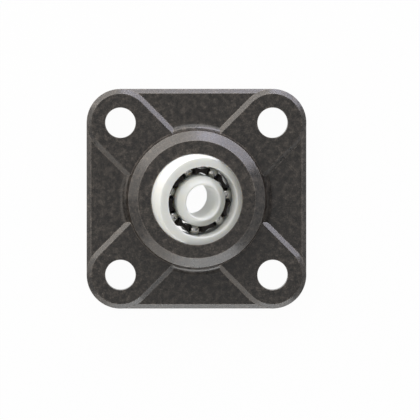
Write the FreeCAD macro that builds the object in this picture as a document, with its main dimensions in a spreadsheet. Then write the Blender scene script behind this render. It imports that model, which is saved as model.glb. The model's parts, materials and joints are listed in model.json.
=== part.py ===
import FreeCAD, Part
import Sketcher
import math
import os

# Four-bolt flange bearing: a moulded plastic flange housing that holds a self-aligning
# plastic ball bearing. Lengths are in millimetres and angles in degrees.
# The origin is the centre of the flat back face, and +Z points out of the front of the hub.

# Driving dimensions: alias in the sheet, value, what it measures
SIZES = [
    ("plate_side", 65.0, "side of the square flange"),
    ("corner_radius", 10.0, "round corner of the flange, concentric with its bolt hole"),
    ("bolt_hole", 9.0, "diameter of a bolt hole, clearance for M8"),
    ("floor_height", 6.6, "back face to the floor of the pockets between the arms"),
    ("arm_rise", 1.4, "height of a diagonal arm above the pocket floor"),
    ("arm_slope", 1.4, "width in plan of the sloping side of an arm"),
    ("arm_rounding", 0.3, "radius on the top edge of an arm"),
    ("edge_bevel", 1.3, "bevel on the outer edge of the plate beside the pockets"),
    ("seat_height", 11.0, "back face to the centre of the spherical seat"),
    ("seat_clearance", 0.1, "radial running clearance of the insert in its seat"),
    ("hub_height", 16.7, "back face to the front face of the hub"),
    ("hub_face", 3.93, "width of the hub's flat front face, from the mouth to the chamfer"),
    ("hub_chamfer", 2.8, "45 degree chamfer on the front edge of the hub"),
    ("hub_draft", 0.2, "how much the hub's radius grows from the chamfer to its foot"),
    ("hub_fillet", 2.6, "fillet between the hub and the pocket floor"),
    ("shaft_bore", 10.0, "bore of the inner ring"),
    ("inner_wall", 1.95, "inner ring between its bore and the bottom of its ball groove"),
    ("outer_wall", 3.45, "outer ring between its groove and its spherical outside"),
    ("ring_width", 12.0, "width of both rings along the shaft"),
    ("shoulder_width", 8.8, "width of the inner ring at its full diameter"),
    ("nose_wall", 0.6, "wall at the small end of the inner ring's tapered nose"),
    ("rim_chamfer", 0.3, "chamfer on the rims of the rings"),
    ("ball_diameter", 4.0, "diameter of a ball"),
    ("ball_count", 7, "number of balls"),
    ("ball_clearance", 0.05, "clearance between a ball and its grooves"),
    ("groove_depth", 0.55, "depth of the ball groove in each ring"),
    ("cage_inner_gap", 0.25, "radial gap between the cage and the inner ring"),
    ("cage_outer_gap", 0.6, "radial gap between the cage and the outer ring"),
    ("cage_web", 0.68, "wall of the cage behind a ball"),
    ("claw_reach", 0.2, "how far the claws of the cage stand above a ball"),
    ("pocket_clearance", 0.12, "clearance between a ball and its cage pocket"),
    ("pocket_snap", 0.15, "how much narrower than a ball's radius a pocket's neck is"),
    ("mouth_flare", 0.5, "how much a pocket widens from its neck to the front of the cage"),
    ("waist_width", 1.0, "wall of the cage at the waist between two balls"),
    ("waist_inset", 0.1, "how far the waist lies inside the middle of the cage's wall"),
    ("outer_hollow", 6.4, "diameter of the hollow outside a waist"),
    ("inner_hollow", 4.4, "diameter of the hollow inside a waist"),
    ("rest_tilt", 19.0, "tilt of the insert at rest"),
    ("tilt_bearing", -22.5, "direction the shaft axis leans to, counted from +X towards +Y"),
    ("ball_phase", -43.0, "direction of the first ball, counted the same way"),
]


class Size:
    """A number together with the expression that ties it to the sheet."""

    def __init__(self, text, value):
        self.text = text
        self.value = value

    def __add__(self, other):
        return Size(f"({self.text} + {text_of(other)})", self.value + value_of(other))

    def __sub__(self, other):
        return Size(f"({self.text} - {text_of(other)})", self.value - value_of(other))

    def __mul__(self, other):
        return Size(f"({self.text} * {text_of(other)})", self.value * value_of(other))

    def __truediv__(self, other):
        return Size(f"({self.text} / {text_of(other)})", self.value / value_of(other))

    def __neg__(self):
        return Size(f"(-{self.text})", -self.value)


def text_of(number):
    return number.text if isinstance(number, Size) else repr(number)


def value_of(number):
    return number.value if isinstance(number, Size) else number


def other_side(long_side, short_side):
    """The third side of a right triangle, from its longest side and another."""
    text = f"sqrt({long_side.text} ^ 2 - {short_side.text} ^ 2)"
    return Size(text, math.sqrt(long_side.value ** 2 - short_side.value ** 2))


# Document and sheet
doc = FreeCAD.newDocument("flange_bearing")
sheet = doc.addObject("Spreadsheet::Sheet", "Sizes")
size = {}
for row, (alias, number, meaning) in enumerate(SIZES, start=1):
    sheet.set(f"A{row}", meaning)
    sheet.set(f"B{row}", str(number))
    sheet.setAlias(f"B{row}", alias)
    size[alias] = Size(f"Sizes.{alias}", number)
doc.recompute()

# The share of a diagonal length that lies along X or along Y
DIAGONAL = Size("sqrt(0.5)", math.sqrt(0.5))
# How far a cut runs past the solid that it opens
PAST = 1.0
# Two heights closer than this are the same height
SAME = 1e-4
# A diagonal arm runs to each corner, with a bolt hole at its end
ARMS = 4

# Sizes that follow from the driving ones: the flange
plate_half = size["plate_side"] / 2
bolt_offset = plate_half - size["corner_radius"]
arm_height = size["floor_height"] + size["arm_rise"]

# The bearing insert, from the shaft outwards
half_width = size["ring_width"] / 2
shaft_radius = size["shaft_bore"] / 2
nose_radius = shaft_radius + size["nose_wall"]
ball_radius = size["ball_diameter"] / 2
groove_radius = ball_radius + size["ball_clearance"]
pitch_radius = shaft_radius + size["inner_wall"] + groove_radius
inner_land_radius = pitch_radius - groove_radius + size["groove_depth"]
outer_land_radius = pitch_radius + groove_radius - size["groove_depth"]
groove_half_width = other_side(groove_radius, groove_radius - size["groove_depth"])
insert_radius = pitch_radius + groove_radius + size["outer_wall"]
ring_face_radius = other_side(insert_radius, half_width)

# The cage
cage_inside = inner_land_radius + size["cage_inner_gap"]
cage_outside = outer_land_radius - size["cage_outer_gap"]
cage_middle = (cage_inside + cage_outside) / 2
pocket_radius = ball_radius + size["pocket_clearance"]
neck_radius = ball_radius - size["pocket_snap"]
neck_height = other_side(pocket_radius, neck_radius)
cage_front = ball_radius + size["claw_reach"]
cage_back = pocket_radius + size["cage_web"]
half_ball_angle = Size(f"(180 / {size['ball_count'].text})", 180 / size["ball_count"].value)

# The seat and the hub round the insert
seat_radius = insert_radius + size["seat_clearance"]
seat_half_width = size["hub_height"] - size["seat_height"]
mouth_radius = other_side(seat_radius, seat_half_width)
hub_radius = mouth_radius + size["hub_face"] + size["hub_chamfer"]
hub_foot_radius = hub_radius + size["hub_draft"]


# Sketches
def sketch_on(body, name, plane_role, height=None, aside=None):
    """A sketch on one of the body's own origin planes, lifted or shifted by a size."""
    sketch = body.newObject("Sketcher::SketchObject", name)
    plane = [item for item in body.Origin.OriginFeatures if item.Role == plane_role][0]
    sketch.AttachmentSupport = [(plane, "")]
    sketch.MapMode = "FlatFace"
    if height is not None:
        sketch.setExpression("AttachmentOffset.Base.z", height.text)
    if aside is not None:
        sketch.setExpression("AttachmentOffset.Base.x", aside.text)
    return sketch


def tie(sketch, direction, shape, end, number):
    """Dimension a point from the sketch's origin, or put it on the axis if the size is zero."""
    if value_of(number) == 0:
        axis = -2 if direction == "DistanceX" else -1
        sketch.addConstraint(Sketcher.Constraint("PointOnObject", shape, end, axis))
        return
    made = sketch.addConstraint(Sketcher.Constraint(direction, -1, 1, shape, end, value_of(number)))
    if isinstance(number, Size):
        sketch.setExpression(f"Constraints[{made}]", number.text)


def outline(sketch, corners):
    """A closed outline. A corner is (x, y), or (x, y, centre x, centre y, turn) where an
    arc arrives from the corner before it, and turn is 1 anticlockwise or -1 clockwise."""
    shapes = []
    for start, end in zip([corners[-1]] + corners[:-1], corners):
        first = FreeCAD.Vector(value_of(start[0]), value_of(start[1]), 0)
        last = FreeCAD.Vector(value_of(end[0]), value_of(end[1]), 0)
        if len(end) == 2:
            shapes.append((sketch.addGeometry(Part.LineSegment(first, last)), 1, 2))
            continue
        centre = FreeCAD.Vector(value_of(end[2]), value_of(end[3]), 0)
        from_end, to_end = (first, last) if end[4] > 0 else (last, first)
        angles = [math.atan2(p.y - centre.y, p.x - centre.x) for p in (from_end, to_end)]
        circle = Part.Circle(centre, FreeCAD.Vector(0, 0, 1), (first - centre).Length)
        arc = sketch.addGeometry(Part.ArcOfCircle(circle, *angles))
        shapes.append((arc, 1, 2) if end[4] > 0 else (arc, 2, 1))
    for place, (shape, start_point, end_point) in enumerate(shapes):
        after, after_start, _ = shapes[(place + 1) % len(shapes)]
        sketch.addConstraint(Sketcher.Constraint("Coincident", shape, end_point, after, after_start))
        tie(sketch, "DistanceX", shape, end_point, corners[place][0])
        tie(sketch, "DistanceY", shape, end_point, corners[place][1])
        if len(corners[place]) == 5:
            tie(sketch, "DistanceX", shape, 3, corners[place][2])


def disc(sketch, x, y, radius):
    """A circle at a dimensioned place."""
    centre = FreeCAD.Vector(value_of(x), value_of(y), 0)
    shape = sketch.addGeometry(Part.Circle(centre, FreeCAD.Vector(0, 0, 1), value_of(radius)))
    tie(sketch, "DistanceX", shape, 3, x)
    tie(sketch, "DistanceY", shape, 3, y)
    made = sketch.addConstraint(Sketcher.Constraint("Radius", shape, value_of(radius)))
    sketch.setExpression(f"Constraints[{made}]", radius.text)


# Features
def pad(body, name, sketch, length):
    feature = body.newObject("PartDesign::Pad", name)
    feature.Profile = sketch
    feature.setExpression("Length", length.text)
    return feature


def turned(body, kind, name, sketch):
    """A full revolution or groove about the sketch's vertical axis."""
    feature = body.newObject(f"PartDesign::{kind}", name)
    feature.Profile = sketch
    feature.ReferenceAxis = (sketch, ["V_Axis"])
    feature.Angle = 360
    return feature


def around(body, name, feature, sketch, count):
    """The feature repeated in a full circle about the sketch's normal."""
    pattern = body.newObject("PartDesign::PolarPattern", name)
    pattern.Originals = [feature]
    pattern.Axis = (sketch, ["N_Axis"])
    pattern.Angle = 360
    if isinstance(count, Size):
        pattern.setExpression("Occurrences", count.text)
    else:
        pattern.Occurrences = count
    body.Tip = pattern
    doc.recompute()
    return pattern


def edges_where(feature, test):
    """Names of the feature's edges that pass a test."""
    return [f"Edge{n}" for n, edge in enumerate(feature.Shape.Edges, start=1) if test(edge)]


def near(a, b):
    return abs(a - b) < SAME


# The flange housing
def arm_outline(sketch):
    """One diagonal arm, from the centre to a bolt hole, with round ends."""
    aside = size["corner_radius"] * DIAGONAL
    outline(sketch, [
        (bolt_offset + aside, bolt_offset - aside),
        (bolt_offset - aside, bolt_offset + aside, bolt_offset, bolt_offset, 1),
        (-aside, aside),
        (aside, -aside, 0, 0, 1),
    ])


def make_housing():
    body = doc.addObject("PartDesign::Body", "flange_housing")

    # Square plate with round corners, concentric with the bolt holes
    plate_sketch = sketch_on(body, "plate_outline", "XY_Plane")
    outline(plate_sketch, [
        (plate_half, -bolt_offset, bolt_offset, -bolt_offset, 1),
        (plate_half, bolt_offset),
        (bolt_offset, plate_half, bolt_offset, bolt_offset, 1),
        (-bolt_offset, plate_half),
        (-plate_half, bolt_offset, -bolt_offset, bolt_offset, 1),
        (-plate_half, -bolt_offset),
        (-bolt_offset, -plate_half, -bolt_offset, -bolt_offset, 1),
        (bolt_offset, -plate_half),
    ])
    plate = pad(body, "plate", plate_sketch, size["floor_height"])
    doc.recompute()

    # Bevel round the top edge of the plate
    top = size["floor_height"].value
    bevel = body.newObject("PartDesign::Chamfer", "plate_bevel")
    bevel.Base = (plate, edges_where(plate, lambda edge: near(edge.BoundBox.ZMin, top)))
    bevel.setExpression("Size", size["edge_bevel"].text)
    doc.recompute()

    # Diagonal arms: upright up to the pocket floor, then sloping like a moulded side
    foot_sketch = sketch_on(body, "arm_foot_outline", "XY_Plane")
    arm_outline(foot_sketch)
    arm_foot = pad(body, "arm_foot", foot_sketch, size["floor_height"])
    around(body, "arm_feet", arm_foot, foot_sketch, ARMS)

    top_sketch = sketch_on(body, "arm_top_outline", "XY_Plane", height=size["floor_height"])
    arm_outline(top_sketch)
    arm_top = pad(body, "arm_top", top_sketch, size["arm_rise"])
    arm_top.setExpression("TaperAngle", f"-atan({size['arm_slope'].text} / {size['arm_rise'].text})")
    around(body, "arm_tops", arm_top, top_sketch, ARMS)

    # Hub with its chamfer, drafted wall and foot fillet
    fillet_top = size["floor_height"] + size["hub_fillet"]
    fillet_end = hub_foot_radius + size["hub_fillet"]
    hub_sketch = sketch_on(body, "hub_profile", "XZ_Plane")
    outline(hub_sketch, [
        (0, size["hub_height"]),
        (0, size["floor_height"] / 2),
        (fillet_end, size["floor_height"] / 2),
        (fillet_end, size["floor_height"]),
        (hub_foot_radius, fillet_top, fillet_end, fillet_top, -1),
        (hub_radius, size["hub_height"] - size["hub_chamfer"]),
        (hub_radius - size["hub_chamfer"], size["hub_height"]),
    ])
    hub = turned(body, "Revolution", "hub", hub_sketch)
    doc.recompute()

    # Small rounding on the top edge of the arms, up to the hub
    level = arm_height.value

    def on_arm_rim(edge):
        middle = edge.valueAt((edge.FirstParameter + edge.LastParameter) / 2)
        flat = near(edge.BoundBox.ZMin, level) and near(edge.BoundBox.ZMax, level)
        return flat and math.hypot(middle.x, middle.y) > fillet_end.value

    rounding = body.newObject("PartDesign::Fillet", "arm_rounding")
    rounding.Base = (hub, edges_where(hub, on_arm_rim))
    rounding.setExpression("Radius", size["arm_rounding"].text)
    doc.recompute()

    # Spherical seat, open at the front and with a straight opening at the back
    seat_back = size["seat_height"] - seat_half_width
    seat_sketch = sketch_on(body, "seat_profile", "XZ_Plane")
    outline(seat_sketch, [
        (0, size["hub_height"] + PAST),
        (0, -PAST),
        (mouth_radius, -PAST),
        (mouth_radius, seat_back),
        (mouth_radius, size["hub_height"], 0, size["seat_height"], 1),
        (mouth_radius, size["hub_height"] + PAST),
    ])
    turned(body, "Groove", "seat", seat_sketch)
    doc.recompute()

    # Bolt holes through the arms
    hole_sketch = sketch_on(body, "bolt_hole_place", "XY_Plane", height=arm_height)
    disc(hole_sketch, bolt_offset, bolt_offset, size["bolt_hole"] / 2)
    doc.recompute()
    hole = body.newObject("PartDesign::Hole", "bolt_hole")
    hole.Profile = hole_sketch
    hole.DepthType = "ThroughAll"
    hole.Threaded = False
    hole.setExpression("Diameter", size["bolt_hole"].text)
    doc.recompute()
    around(body, "bolt_holes", hole, hole_sketch, ARMS)
    return body


# The bearing insert. Each ring is drawn about its own Z axis, with the middle of its
# width at the origin, and then turned and lifted into the seat.
LEAN = (
    f"create(<<placement>>; create(<<vector>>; 0; 0; {size['seat_height'].text});"
    f" create(<<rotation>>; create(<<vector>>; -sin({size['tilt_bearing'].text});"
    f" cos({size['tilt_bearing'].text}); 0); {size['rest_tilt'].text}))"
)


def turn_and_shift(angle_text, shift_text):
    """Expression for a turn about Z, then a shift along the turned X axis."""
    turn = (
        "create(<<placement>>; create(<<vector>>; 0; 0; 0);"
        f" create(<<rotation>>; create(<<vector>>; 0; 0; 1); {angle_text}))"
    )
    shift = (
        f"create(<<placement>>; create(<<vector>>; {shift_text}; 0; 0);"
        " create(<<rotation>>; create(<<vector>>; 0; 0; 1); 0))"
    )
    return f"{turn} * {shift}"


def make_outer_ring():
    rim = size["rim_chamfer"]
    body = doc.addObject("PartDesign::Body", "outer_ring")
    sketch = sketch_on(body, "outer_ring_profile", "XZ_Plane")
    outline(sketch, [
        (outer_land_radius + rim, -half_width),
        (ring_face_radius, -half_width),
        (ring_face_radius, half_width, 0, 0, 1),
        (outer_land_radius + rim, half_width),
        (outer_land_radius, half_width - rim),
        (outer_land_radius, groove_half_width),
        (outer_land_radius, -groove_half_width, pitch_radius, 0, -1),
        (outer_land_radius, rim - half_width),
    ])
    turned(body, "Revolution", "outer_ring_solid", sketch)
    body.setExpression("Placement", LEAN)
    return body


def make_inner_ring():
    rim = size["rim_chamfer"]
    land_half = size["shoulder_width"] / 2
    body = doc.addObject("PartDesign::Body", "inner_ring")
    sketch = sketch_on(body, "inner_ring_profile", "XZ_Plane")
    outline(sketch, [
        (shaft_radius + rim, -half_width),
        (nose_radius, -half_width),
        (inner_land_radius, -land_half),
        (inner_land_radius, -groove_half_width),
        (inner_land_radius, groove_half_width, pitch_radius, 0, -1),
        (inner_land_radius, land_half),
        (nose_radius, half_width),
        (shaft_radius + rim, half_width),
        (shaft_radius, half_width - rim),
        (shaft_radius, rim - half_width),
    ])
    turned(body, "Revolution", "inner_ring_solid", sketch)
    body.setExpression("Placement", LEAN)
    return body


def make_cage():
    """A snap-in cage: a ring with a round pocket for each ball, open at the front, and a
    waist between two pockets. The first pocket is on the X axis of the body."""
    body = doc.addObject("PartDesign::Body", "ball_cage")
    blank_sketch = sketch_on(body, "cage_section", "XZ_Plane")
    outline(blank_sketch, [
        (cage_inside, -cage_back),
        (cage_outside, -cage_back),
        (cage_outside, cage_front),
        (cage_inside, cage_front),
    ])
    turned(body, "Revolution", "cage_blank", blank_sketch)

    # Pocket: a sphere about the ball with a narrow mouth that flares to the front
    flare_radius = neck_radius + size["mouth_flare"]
    pocket_sketch = sketch_on(body, "pocket_profile", "XZ_Plane", aside=pitch_radius)
    outline(pocket_sketch, [
        (0, -pocket_radius),
        (neck_radius, neck_height, 0, 0, 1),
        (flare_radius, cage_front),
        (flare_radius, cage_front + PAST),
        (0, cage_front + PAST),
    ])
    pocket = turned(body, "Groove", "ball_pocket", pocket_sketch)
    doc.recompute()
    axis_sketch = sketch_on(body, "cage_axis", "XY_Plane")
    around(body, "ball_pockets", pocket, axis_sketch, size["ball_count"])

    # Waist: a hollow outside and one inside the wall between two pockets
    waist_sketch = sketch_on(body, "waist_place", "XY_Plane", height=-cage_back)
    waist_sketch.setExpression("AttachmentOffset.Rotation.Angle", half_ball_angle.text)
    waist_middle = cage_middle - size["waist_inset"]
    outside = (size["waist_width"] + size["outer_hollow"]) / 2
    inside = (size["waist_width"] + size["inner_hollow"]) / 2
    disc(waist_sketch, waist_middle + outside, 0, size["outer_hollow"] / 2)
    disc(waist_sketch, waist_middle - inside, 0, size["inner_hollow"] / 2)
    waist = body.newObject("PartDesign::Pocket", "waist")
    waist.Profile = waist_sketch
    waist.Type = "ThroughAll"
    waist.Reversed = True
    doc.recompute()
    around(body, "waists", waist, waist_sketch, size["ball_count"])
    body.setExpression("Placement", f"{LEAN} * {turn_and_shift(size['ball_phase'].text, '0')}")
    return body


def make_ball(place):
    ball = doc.addObject("Part::Sphere", f"ball_{place + 1}")
    ball.setExpression("Radius", ball_radius.text)
    angle = f"{size['ball_phase'].text} + {place} * 360 / {size['ball_count'].text}"
    ball.setExpression("Placement", f"{LEAN} * {turn_and_shift(angle, pitch_radius.text)}")
    return ball


pieces = [make_housing(), make_outer_ring(), make_inner_ring(), make_cage()]
pieces += [make_ball(place) for place in range(int(size["ball_count"].value))]
for piece in pieces:
    piece.Label = piece.Name
doc.recompute()

# Every object is sound before anything is written
for item in doc.Objects:
    if "Invalid" in item.State or "Error" in item.State:
        raise RuntimeError(f"{item.Name} failed: {item.State}")
for piece in pieces:
    if piece.Shape.isNull() or not piece.Shape.isValid() or len(piece.Shape.Solids) != 1:
        raise RuntimeError(f"{piece.Label} is not one sound solid")

os.makedirs("parts", exist_ok=True)
for piece in pieces:
    piece.Shape.exportStep(f"parts/{piece.Label}.step")
    box = piece.Shape.BoundBox
    print(f"{piece.Label}: volume {piece.Shape.Volume:.2f} mm3, Z {box.ZMin:.2f} to {box.ZMax:.2f}")
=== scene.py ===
# %% [markdown]
# # A four-bolt flange bearing
# The object is a square flange of moulded plastic. Its round hub holds a white plastic ball
# bearing in a spherical seat, so that the bearing can tilt and a shaft need not be square to
# the wall. The sizes are settled already: the frame gives every piece at its real place, in
# metres. This lesson gives each piece its edges, its surface and its light.

# %% Load the frame
import json
import math

import bmesh
import bpy
from mathutils import Matrix, Vector

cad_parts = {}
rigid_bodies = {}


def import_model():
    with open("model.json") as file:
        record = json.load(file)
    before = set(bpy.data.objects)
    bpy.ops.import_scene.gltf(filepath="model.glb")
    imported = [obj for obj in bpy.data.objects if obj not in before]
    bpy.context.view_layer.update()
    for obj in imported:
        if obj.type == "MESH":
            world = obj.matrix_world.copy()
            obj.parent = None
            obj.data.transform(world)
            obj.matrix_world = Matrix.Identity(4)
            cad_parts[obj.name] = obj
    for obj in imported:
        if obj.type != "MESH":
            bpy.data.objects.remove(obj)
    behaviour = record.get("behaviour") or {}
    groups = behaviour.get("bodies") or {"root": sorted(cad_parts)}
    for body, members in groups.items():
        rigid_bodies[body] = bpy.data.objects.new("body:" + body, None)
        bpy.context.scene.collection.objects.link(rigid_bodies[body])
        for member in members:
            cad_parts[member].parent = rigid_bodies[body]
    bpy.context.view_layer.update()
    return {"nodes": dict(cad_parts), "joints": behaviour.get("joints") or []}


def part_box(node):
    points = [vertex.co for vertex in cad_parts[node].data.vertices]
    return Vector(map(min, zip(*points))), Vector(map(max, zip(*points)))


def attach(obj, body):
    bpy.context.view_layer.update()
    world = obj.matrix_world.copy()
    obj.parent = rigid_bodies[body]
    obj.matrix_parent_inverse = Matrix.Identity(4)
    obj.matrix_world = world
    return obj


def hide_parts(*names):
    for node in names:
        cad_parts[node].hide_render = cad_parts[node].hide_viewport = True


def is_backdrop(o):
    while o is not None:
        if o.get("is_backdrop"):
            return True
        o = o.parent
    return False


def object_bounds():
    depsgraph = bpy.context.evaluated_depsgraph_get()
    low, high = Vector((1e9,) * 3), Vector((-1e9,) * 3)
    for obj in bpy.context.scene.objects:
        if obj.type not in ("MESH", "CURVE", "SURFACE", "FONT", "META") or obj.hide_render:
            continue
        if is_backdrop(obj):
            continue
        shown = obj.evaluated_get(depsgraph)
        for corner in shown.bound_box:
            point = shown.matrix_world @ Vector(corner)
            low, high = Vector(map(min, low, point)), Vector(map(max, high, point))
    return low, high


for start_object in list(bpy.data.objects):
    bpy.data.objects.remove(start_object)
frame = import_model()
MM = 0.001
print("pieces in the frame:", ", ".join(sorted(frame["nodes"])))

# %% [markdown]
# ## Where things are
# The insert is everything that tilts: two rings, a cage and seven balls. All of them turn about
# the shaft's axis, which the joint of the inner ring gives. A matrix that stands the Z axis on
# the shaft's axis lets each of them be made upright and then put in place.

# %% The axis of the insert
spin = next(joint for joint in frame["joints"] if joint["name"] == "inner_ring_spin")
SHAFT_AXIS = Vector(spin["axis"]).normalized()
SEAT_CENTRE = Vector(spin["pos_m"])
lean = Vector((0, 0, 1)).rotation_difference(SHAFT_AXIS)
PLACE_INSERT = Matrix.Translation(SEAT_CENTRE) @ lean.to_matrix().to_4x4()
print("the shaft leans", round(math.degrees(lean.angle), 1), "degrees")

# %% [markdown]
# ## From a mesh to a piece
# Every piece ends the same way: its mesh becomes an object at the origin, it rides on the body
# that carries it, and it stands for the plain solid of the frame. One function does all that.

# %% A finished mesh becomes an object
def finished(shape, name, body, slot, *nodes):
    """Turn a bmesh into a piece that rides on a body and stands for CAD nodes."""
    for face in shape.faces:
        face.smooth = True
    mesh = bpy.data.meshes.new(name)
    shape.to_mesh(mesh)
    shape.free()
    piece = bpy.data.objects.new(name, mesh)
    bpy.context.scene.collection.objects.link(piece)
    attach(piece, body)
    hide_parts(*nodes)
    print(name, "has", len(mesh.polygons), "faces")
    return piece


# %% [markdown]
# ## Moulded pieces
# The housing and the cage are injection moulded. Their forms are already in the frame, but with
# knife edges, and a mould never gives those: each edge is rounded a little, and that thin round
# catches the light as a fine bright line. They could be modelled again from nothing. It is safer
# to copy the frame's mesh, to merge its loose triangles into large faces, and to bevel only the
# edges that are truly sharp. A modifier then weighs the normals by face area, so that the flats
# look flat right up to their rounded edges.

# %% Rounded copies of the moulded pieces
SAME_PLACE = 0.001 * MM
SAME_FLAT = math.radians(0.5)
SHARP = math.radians(30)


def rounded_copy(node, radius, segments):
    """The mesh of a CAD piece with its sharp edges rounded, as a bmesh."""
    shape = bmesh.new()
    shape.from_mesh(frame["nodes"][node].data)
    bmesh.ops.remove_doubles(shape, verts=shape.verts, dist=SAME_PLACE)
    bmesh.ops.dissolve_limit(shape, angle_limit=SAME_FLAT, verts=shape.verts, edges=shape.edges)
    sharp = [edge for edge in shape.edges if edge.is_manifold and edge.calc_face_angle() > SHARP]
    bmesh.ops.bevel(shape, geom=sharp, offset=radius, offset_type="OFFSET", segments=segments,
                    profile=0.5, affect="EDGES", clamp_overlap=True, material=-1)
    return shape


def keep_flats_flat(piece):
    """Weigh the normals by face area, so that the flats stay flat beside their rounded edges."""
    weighted = piece.modifiers.new("flat_faces", "WEIGHTED_NORMAL")
    weighted.mode = "FACE_AREA"
    weighted.weight = 90


# %% The housing and the cage
HOUSING_EDGE = 0.18 * MM
CAGE_EDGE = 0.05 * MM
housing = finished(rounded_copy("flange_housing", HOUSING_EDGE, segments=3), "housing_moulding",
                   "housing", "housing_plastic", "flange_housing")
cage = finished(rounded_copy("ball_cage", CAGE_EDGE, segments=2), "cage_moulding",
                "cage", "cage_plastic", "ball_cage")
for moulded in (housing, cage):
    keep_flats_flat(moulded)

# %% [markdown]
# ## Turned rings
# A ring is turned on a lathe, so one half section says all about it. The section is drawn as a
# wire in the XZ plane, with straight runs, and with arcs that are made by spinning one vertex.
# Its corners are rounded with a bevel on the vertices, which is much safer than a bevel on a
# finished solid, and the wire is then spun once round. The sizes are measured on the frame's own
# rings, so the new ones lie exactly where those do.

# %% Sizes of the rings
def section_of(node):
    """Each vertex of a ring as its distance from the shaft's axis and its place along it."""
    upright = PLACE_INSERT.inverted()
    places = [upright @ vertex.co for vertex in frame["nodes"][node].data.vertices]
    return [(math.hypot(place.x, place.y), place.z) for place in places]


NEAR = 0.002 * MM
outer_section, inner_section = section_of("outer_ring"), section_of("inner_ring")
ball_low, ball_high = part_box("ball_1")
BALL_RADIUS = (ball_high.z - ball_low.z) / 2
PITCH_RADIUS = ((ball_low + ball_high) / 2 - SEAT_CENTRE).length
HALF_WIDTH = max(along for out, along in outer_section)
SPHERE_RADIUS = max(math.hypot(out, along) for out, along in outer_section)
FACE_RADIUS = math.sqrt(SPHERE_RADIUS ** 2 - HALF_WIDTH ** 2)
OUTER_LAND = min(out for out, along in outer_section)
INNER_LAND = max(out for out, along in inner_section)
BORE_RADIUS = min(out for out, along in inner_section)
GROOVE_HALF = min(abs(along) for out, along in outer_section if out < OUTER_LAND + NEAR)
GROOVE_RADIUS = math.hypot(GROOVE_HALF, PITCH_RADIUS - OUTER_LAND)
SHOULDER_HALF = max(along for out, along in inner_section if out > INNER_LAND - NEAR)
NOSE_RADIUS = max(out for out, along in inner_section if along > HALF_WIDTH - NEAR)
RIM = HALF_WIDTH - max(along for out, along in outer_section if out < OUTER_LAND + NEAR)
print("sphere", round(SPHERE_RADIUS / MM, 2), "mm, lands", round(INNER_LAND / MM, 2), "and",
      round(OUTER_LAND / MM, 2), "mm, groove", round(GROOVE_RADIUS / MM, 2), "mm")


# %% Drawing and turning a section
ARC_STEPS = 28
TURN_STEPS = 192
CORNER = math.radians(20)


def half_section(*corners):
    """A closed wire in the XZ plane. A corner is (out, along), or (out, along, centre, turn)
    where an arc arrives at it, about a point of the middle plane."""
    shape = bmesh.new()
    first = last = shape.verts.new((corners[0][0], 0, corners[0][1]))
    for corner in corners[1:]:
        if len(corner) == 4:
            arc = bmesh.ops.spin(shape, geom=[last], cent=(corner[2], 0, 0), axis=(0, 1, 0),
                                 angle=corner[3], steps=ARC_STEPS, use_duplicate=False)
            last = next(item for item in arc["geom_last"] if isinstance(item, bmesh.types.BMVert))
            continue
        place = shape.verts.new((corner[0], 0, corner[1]))
        shape.edges.new((last, place))
        last = place
    shape.edges.new((last, first))
    return shape


def turned(shape, edge_radius):
    """Round the corners of a section and spin it once about the shaft's axis."""
    corners = [vertex for vertex in shape.verts if vertex.calc_edge_angle() > CORNER]
    bmesh.ops.bevel(shape, geom=corners, offset=edge_radius, offset_type="OFFSET", segments=3,
                    profile=0.5, affect="VERTICES", clamp_overlap=True, material=-1)
    bmesh.ops.spin(shape, geom=shape.verts[:] + shape.edges[:], cent=(0, 0, 0), axis=(0, 0, 1),
                   angle=2 * math.pi, steps=TURN_STEPS, use_merge=True, use_duplicate=False)
    bmesh.ops.recalc_face_normals(shape, faces=shape.faces)
    bmesh.ops.transform(shape, matrix=PLACE_INSERT, verts=shape.verts)
    return shape


# %% The outer ring
RING_EDGE = 0.12 * MM
sphere_turn = 2 * math.asin(HALF_WIDTH / SPHERE_RADIUS)
groove_turn = 2 * math.asin(GROOVE_HALF / GROOVE_RADIUS)
shape = half_section(
    (OUTER_LAND + RIM, -HALF_WIDTH),
    (FACE_RADIUS, -HALF_WIDTH),
    (FACE_RADIUS, HALF_WIDTH, 0, -sphere_turn),
    (OUTER_LAND + RIM, HALF_WIDTH),
    (OUTER_LAND, HALF_WIDTH - RIM),
    (OUTER_LAND, GROOVE_HALF),
    (OUTER_LAND, -GROOVE_HALF, PITCH_RADIUS, groove_turn),
    (OUTER_LAND, RIM - HALF_WIDTH))
outer_ring = finished(turned(shape, RING_EDGE), "outer_ring_turned", "outer_ring",
                      "ring_plastic", "outer_ring")

# %% The inner ring
shape = half_section(
    (BORE_RADIUS + RIM, -HALF_WIDTH),
    (NOSE_RADIUS, -HALF_WIDTH),
    (INNER_LAND, -SHOULDER_HALF),
    (INNER_LAND, -GROOVE_HALF),
    (INNER_LAND, GROOVE_HALF, PITCH_RADIUS, groove_turn),
    (INNER_LAND, SHOULDER_HALF),
    (NOSE_RADIUS, HALF_WIDTH),
    (BORE_RADIUS + RIM, HALF_WIDTH),
    (BORE_RADIUS, HALF_WIDTH - RIM),
    (BORE_RADIUS, RIM - HALF_WIDTH))
inner_ring = finished(turned(shape, RING_EDGE), "inner_ring_turned", "inner_ring",
                      "ring_plastic", "inner_ring")

# %% [markdown]
# ## Balls
# A bearing ball is as round as anything that is made. An icosphere has faces of one size all
# over and no poles, so a reflection runs across it without a pinch, as it would on a UV sphere.

# %% The balls
balls = []
for node in sorted(frame["nodes"]):
    if node.startswith("ball_") and node != "ball_cage":
        low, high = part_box(node)
        shape = bmesh.new()
        bmesh.ops.create_icosphere(shape, subdivisions=5, radius=BALL_RADIUS,
                                   matrix=Matrix.Translation((low + high) / 2))
        balls.append(finished(shape, f"steel_{node}", node, "ball_steel", node))

# %% [markdown]
# ## Colours and nodes
# Colours are picked as sRGB hex values, and Blender mixes light in linear values, so one
# function turns the first into the second.

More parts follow.
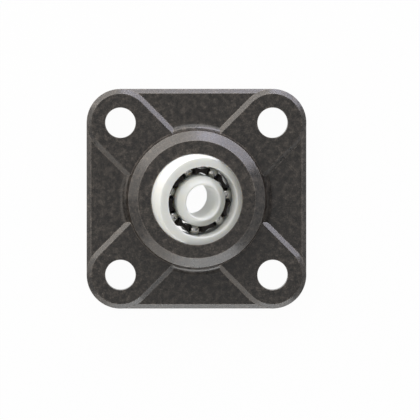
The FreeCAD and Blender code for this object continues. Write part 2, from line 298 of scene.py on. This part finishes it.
# %% Colour and node helpers
def colour(code):
    """An sRGB hex colour as linear values."""
    parts = [int(code[at:at + 2], 16) / 255 for at in (1, 3, 5)]
    return [c / 12.92 if c <= 0.04045 else ((c + 0.055) / 1.055) ** 2.4 for c in parts] + [1.0]


def add(tree, kind, inputs=None, **settings):
    """One node with its settings, and with a value or a link on each named input."""
    node = tree.nodes.new(kind)
    for name, value in settings.items():
        setattr(node, name, value)
    for name, value in (inputs or {}).items():
        if isinstance(value, bpy.types.NodeSocket):
            tree.links.new(value, node.inputs[name])
        else:
            node.inputs[name].default_value = value
    return node


def new_material(name, *pieces):
    """An empty material on some pieces: its tree and its output."""
    made = bpy.data.materials.new(name)
    made.use_nodes = True
    made.node_tree.nodes.clear()
    for piece in pieces:
        piece.data.materials.clear()
        piece.data.materials.append(made)
    print(name, "is on", ", ".join(piece.name for piece in pieces))
    return made.node_tree, made.node_tree.nodes.new("ShaderNodeOutputMaterial")


def ramp(tree, fac, *stops):
    """A colour ramp on a value: each stop is a position and a colour."""
    node = add(tree, "ShaderNodeValToRGB", {"Fac": fac})
    band = node.color_ramp
    while len(band.elements) < len(stops):
        band.elements.new(0.5)
    for element, (position, shade) in zip(band.elements, stops):
        element.position = position
        element.color = shade
    return node.outputs["Color"]


# %% [markdown]
# ## Housing plastic
# The housing is nylon filled with glass fibre and moulded in an eroded steel mould. The fibres
# lie in clumps just under the skin, so the black is never even: it is a warm, cloudy brown-black
# with short pale strands, and a fine grain from the mould breaks up each reflection. A plain dark
# colour would look like paint. The clouds are about one and a half millimetres across, and the
# grain a third of a millimetre. A strand is where a third noise comes close to one half, because
# a level line of a noise is a long thin curve, and it shows only where a cloud comes up to the
# skin. The real grain and fibres are finer, and are drawn as coarse as they need to show.

# %% Housing plastic: clouds, grain and strands
CLOUD = 1.6 * MM
GRAIN = 0.3 * MM
STRAND = 0.8 * MM
FLECK_SHARE = 0.2
BLACK, WHITE = colour("#000000"), colour("#FFFFFF")
tree, output = new_material("glass_filled_nylon_moulded", housing)
place = add(tree, "ShaderNodeTexCoord").outputs["Object"]
cloud = add(tree, "ShaderNodeTexNoise", {"Vector": place, "Scale": 1 / CLOUD, "Detail": 5.0,
                                         "Roughness": 0.7})
grain = add(tree, "ShaderNodeTexNoise", {"Vector": place, "Scale": 1 / GRAIN, "Detail": 2.0,
                                         "Roughness": 0.6})
strand = add(tree, "ShaderNodeTexNoise", {"Vector": place, "Scale": 1 / STRAND, "Detail": 3.0,
                                          "Roughness": 0.6, "Distortion": 0.8})
both = add(tree, "ShaderNodeMath", {0: cloud.outputs["Fac"], 1: grain.outputs["Fac"]},
           operation="MULTIPLY")
line = ramp(tree, strand.outputs["Fac"], (0.45, BLACK), (0.5, WHITE), (0.55, BLACK))
near_skin = ramp(tree, cloud.outputs["Fac"], (0.46, BLACK), (0.62, WHITE))
fleck = add(tree, "ShaderNodeMath", {0: line, 1: near_skin}, operation="MULTIPLY")
depth = add(tree, "ShaderNodeMath", {0: fleck.outputs["Value"], 1: FLECK_SHARE,
                                     2: both.outputs["Value"]}, operation="MULTIPLY_ADD")

# %% [markdown]
# Every edge of the housing, convex and concave, is painted paler as a highlight. The Bevel node
# gives the normal that a rounder edge would have, and where it parts from the true normal, there
# is an edge. The angle between the two says how near it is, so nothing has to be painted by hand.

# %% Housing plastic: painted edge highlights
EDGE_HIGHLIGHT_RADIUS = 0.4 * MM
EDGE_HIGHLIGHT_SHARE = 0.3
soft_edge = add(tree, "ShaderNodeBevel", {"Radius": EDGE_HIGHLIGHT_RADIUS}, samples=4)
surface = add(tree, "ShaderNodeNewGeometry")
flatness = add(tree, "ShaderNodeVectorMath", {0: soft_edge.outputs["Normal"],
                                              1: surface.outputs["Normal"]},
               operation="DOT_PRODUCT")
# Painted highlight: the colour is made paler along every edge, convex and concave alike.
painted_edge_highlight = ramp(tree, flatness.outputs["Value"], (0.93, WHITE), (0.995, BLACK))
tone_and_edge_highlight = add(tree, "ShaderNodeMath", {0: painted_edge_highlight, 1: EDGE_HIGHLIGHT_SHARE, 2: depth.outputs["Value"]},
               operation="MULTIPLY_ADD")

# %% Housing plastic: colour, grain and gloss
GRAIN_DEPTH = 0.02 * MM
tone = ramp(tree, tone_and_edge_highlight.outputs["Value"], (0.14, colour("#12100F")), (0.26, colour("#2D2925")),
            (0.44, colour("#575049")), (0.8, colour("#958D86")))
bump = add(tree, "ShaderNodeBump", {"Height": grain.outputs["Fac"], "Strength": 0.5,
                                    "Distance": GRAIN_DEPTH})
rough = add(tree, "ShaderNodeMapRange", {"Value": cloud.outputs["Fac"], "From Min": 0.3,
                                         "From Max": 0.7, "To Min": 0.24, "To Max": 0.37})
shader = add(tree, "ShaderNodeBsdfPrincipled", {"Base Color": tone, "IOR": 1.62,
                                                "Roughness": rough.outputs["Result"],
                                                "Normal": bump.outputs["Normal"]})
tree.links.new(shader.outputs["BSDF"], output.inputs["Surface"])

# %% [markdown]
# ## Ring plastic
# The rings are turned from a white bearing polymer. It is milky: light goes a millimetre or two
# into it and comes out somewhere else, so that the channel between the rings and the wall of the
# bore glow instead of going dark. Subsurface scattering gives that, and a plain diffuse white
# would look like painted steel.

# %% Ring plastic
MILKY_DEPTH = 1.5 * MM
tree, output = new_material("white_bearing_polymer", outer_ring, inner_ring)
shader = add(tree, "ShaderNodeBsdfPrincipled", {"Base Color": colour("#EEF0EC"), "IOR": 1.48,
                                                "Roughness": 0.4, "Subsurface Weight": 1.0,
                                                "Subsurface Radius": (1.0, 0.95, 0.85),
                                                "Subsurface Scale": MILKY_DEPTH})
tree.links.new(shader.outputs["BSDF"], output.inputs["Surface"])

# %% [markdown]
# ## Cage plastic
# The cage is moulded in a smooth steel mould, so it is glossier than the housing: its flat top
# is nearly black, and its pocket walls mirror the pale rings beside them.

# %% Cage plastic
tree, output = new_material("dark_nylon_moulded", cage)
shader = add(tree, "ShaderNodeBsdfPrincipled", {"Base Color": colour("#26211F"), "IOR": 1.53,
                                                "Roughness": 0.25})
tree.links.new(shader.outputs["BSDF"], output.inputs["Surface"])

# %% [markdown]
# ## Ball steel
# The balls are stainless steel, ground and polished. What they show is mostly their
# surroundings: the white rings, the dark cage and the lamps.

# %% Ball steel
tree, output = new_material("stainless_steel_polished", *balls)
shader = add(tree, "ShaderNodeBsdfPrincipled", {"Base Color": colour("#D2D1CE"), "Metallic": 1.0,
                                                "Roughness": 0.16})
tree.links.new(shader.outputs["BSDF"], output.inputs["Surface"])

# %% [markdown]
# ## Floor
# The bearing lies on white paper that is burnt out to plain white. More light on the object would
# spoil its colours, so the paper itself glows, and only for rays from the camera or from a
# mirror. A small share of it stays plain paper, and keeps a soft shadow. The paper lies a hair
# below the flange, because two faces in one plane would flicker, and it is clear from below, so
# that the back of the bearing can be looked at from there.

# %% Floor
FLOOR_SIZE = 6.0
FLOOR_GAP = 0.02 * MM
GLOW_SHARE = 0.97
floor_shape = bmesh.new()
bmesh.ops.create_grid(floor_shape, x_segments=1, y_segments=1, size=FLOOR_SIZE / 2,
                      matrix=Matrix.Translation((0, 0, -FLOOR_GAP)))
floor_mesh = bpy.data.meshes.new("floor")
floor_shape.to_mesh(floor_mesh)
floor_shape.free()
floor = bpy.data.objects.new("floor", floor_mesh)
bpy.context.scene.collection.objects.link(floor)
floor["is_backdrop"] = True
tree, output = new_material("pale_paper", floor)
rays = add(tree, "ShaderNodeLightPath")
seen = add(tree, "ShaderNodeMath", {0: rays.outputs["Is Camera Ray"],
                                    1: rays.outputs["Is Glossy Ray"]}, operation="MAXIMUM")
share = add(tree, "ShaderNodeMath", {0: seen.outputs["Value"], 1: GLOW_SHARE},
            operation="MULTIPLY")
paper = add(tree, "ShaderNodeBsdfDiffuse", {"Color": colour("#F2F2F2")})
glow = add(tree, "ShaderNodeEmission", {"Color": WHITE, "Strength": 1.0})
mixed = add(tree, "ShaderNodeMixShader", {0: share.outputs["Value"], 1: paper.outputs["BSDF"],
                                          2: glow.outputs["Emission"]})
side = add(tree, "ShaderNodeNewGeometry")
clear = add(tree, "ShaderNodeBsdfTransparent")
sided = add(tree, "ShaderNodeMixShader", {0: side.outputs["Backfacing"], 1: mixed.outputs["Shader"],
                                          2: clear.outputs["BSDF"]})
tree.links.new(sided.outputs["Shader"], output.inputs["Surface"])

# %% [markdown]
# ## Lights
# The light is a low, broken ring of softboxes in a dim studio, as in a picture for a catalogue.
# A large panel stands higher up at the top of the picture, and two weak ones hang at the left and
# overhead. The flats look up past the ring and stay dark. Each slope tips towards a softbox and
# mirrors it, so that the chamfer, the arms and the bevels are drawn in light. A panel's strength
# is given as its radiance, so that it can be made larger without making it brighter. The camera
# sees white paper behind everything, and never a panel.

# %% Lights
PANEL_DISTANCE = 0.6


def softbox(name, azimuth, elevation, wide, tall, radiance, shade="#FFFFFF"):
    """A lit panel that looks at the bearing. All its angles are in degrees, and its azimuth
    counts from +X towards +Y."""
    lamp = bpy.data.lights.new(name, "AREA")
    lamp.shape = "RECTANGLE"
    lamp.size = 2 * PANEL_DISTANCE * math.tan(math.radians(wide / 2))
    lamp.size_y = 2 * PANEL_DISTANCE * math.tan(math.radians(tall / 2))
    lamp.energy = radiance * math.pi * lamp.size * lamp.size_y
    lamp.color = colour(shade)[:3]
    around, up = math.radians(azimuth), math.radians(elevation)
    towards = Vector((math.cos(around) * math.cos(up), math.sin(around) * math.cos(up), math.sin(up)))
    box = bpy.data.objects.new(name, lamp)
    box.rotation_mode = "QUATERNION"
    box.rotation_quaternion = towards.to_track_quat("Z", "Y")
    box.location = towards * PANEL_DISTANCE
    box.visible_camera = False
    bpy.context.scene.collection.objects.link(box)
    print(name, "gives", round(lamp.energy, 1), "W")
    return box


COOL, WARM = "#F3F1FF", "#FFF8F0"
softbox("right_panel", 50, 7, 40, 14, 6.6, COOL)
softbox("top_panel", 80, 7, 20, 14, 9.1, COOL)
softbox("top_left_panel", 120, 7, 60, 14, 4.8, WARM)
softbox("left_low_panel", 165, 7, 30, 14, 1.9, WARM)
softbox("bottom_left_panel", 235, 7, 30, 14, 2.8, WARM)
softbox("bottom_panel", 280, 7, 60, 14, 5.6)
softbox("top_high_panel", 105, 36, 90, 32, 2.3)
softbox("left_high_panel", 195, 56, 50, 30, 1.0, WARM)
softbox("overhead_panel", 0, 90, 50, 50, 0.35)

# %% [markdown]
# The white paper under the bearing shines up through the open bore too, and that is what makes
# the wall of the bore so pale. A small lamp under the insert stands for it, and the camera does
# not see the lamp, only the paper.

# %% Light from the paper below the bore
PAPER_LIGHT = 0.35
PAPER_LAMP_HEIGHT = 0.3 * MM
below = bpy.data.lights.new("paper_light", "AREA")
below.shape = "DISK"
below.size = 2 * PITCH_RADIUS
below.energy = PAPER_LIGHT * math.pi * math.pi * PITCH_RADIUS ** 2
below_lamp = bpy.data.objects.new("paper_light", below)
below_lamp.location = (0, 0, PAPER_LAMP_HEIGHT)
below_lamp.rotation_euler = (math.pi, 0, 0)
below_lamp.visible_camera = False
bpy.context.scene.collection.objects.link(below_lamp)
print("the paper gives", round(below.energy * 1000, 3), "mW")

# %% [markdown]
# No studio is black: its walls send a little light back from every side. The world stands for
# them, at a small share of white, and the camera alone sees it as plain white.

# %% The studio
ROOM_LIGHT = 0.15
world = bpy.data.worlds.new("studio")
bpy.context.scene.world = world
world.use_nodes = True
rays = add(world.node_tree, "ShaderNodeLightPath")
shown = add(world.node_tree, "ShaderNodeMath", {0: rays.outputs["Is Camera Ray"], 1: ROOM_LIGHT},
            operation="MAXIMUM")
background = world.node_tree.nodes["Background"]
background.inputs["Color"].default_value = WHITE
world.node_tree.links.new(shown.outputs["Value"], background.inputs["Strength"])

# %% [markdown]
# ## Camera
# The photograph was taken from far away and almost straight from the front, so the lens is long.
# The camera leans a little over one degree: that small lean shifts the face of the hub against
# the flange by a fifth of a millimetre, and that can be seen.

# %% Camera
VIEW_WIDTH = 124.17 * MM
AIM = Vector((3.98, -3.28, 8.0)) * MM
CAMERA_DISTANCE = 2.5
LEAN_X, LEAN_Y = math.radians(-0.5), math.radians(1.1)
CAMERA_LEAN = Vector((math.tan(LEAN_X), math.tan(LEAN_Y), 1)).normalized()
camera_data = bpy.data.cameras.new("camera")
camera_data.sensor_width = 36.0
camera_data.lens = camera_data.sensor_width * CAMERA_DISTANCE / VIEW_WIDTH
camera_data.clip_end = 10.0
camera = bpy.data.objects.new("camera", camera_data)
camera.location = AIM + CAMERA_LEAN * CAMERA_DISTANCE
camera.rotation_mode = "QUATERNION"
camera.rotation_quaternion = Vector((0, 0, 1)).rotation_difference(CAMERA_LEAN)
bpy.context.scene.collection.objects.link(camera)
bpy.context.scene.camera = camera
bpy.context.scene.view_settings.view_transform = "Standard"
print("lens of", round(camera_data.lens), "mm")

# %% Sizes and end
low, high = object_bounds()
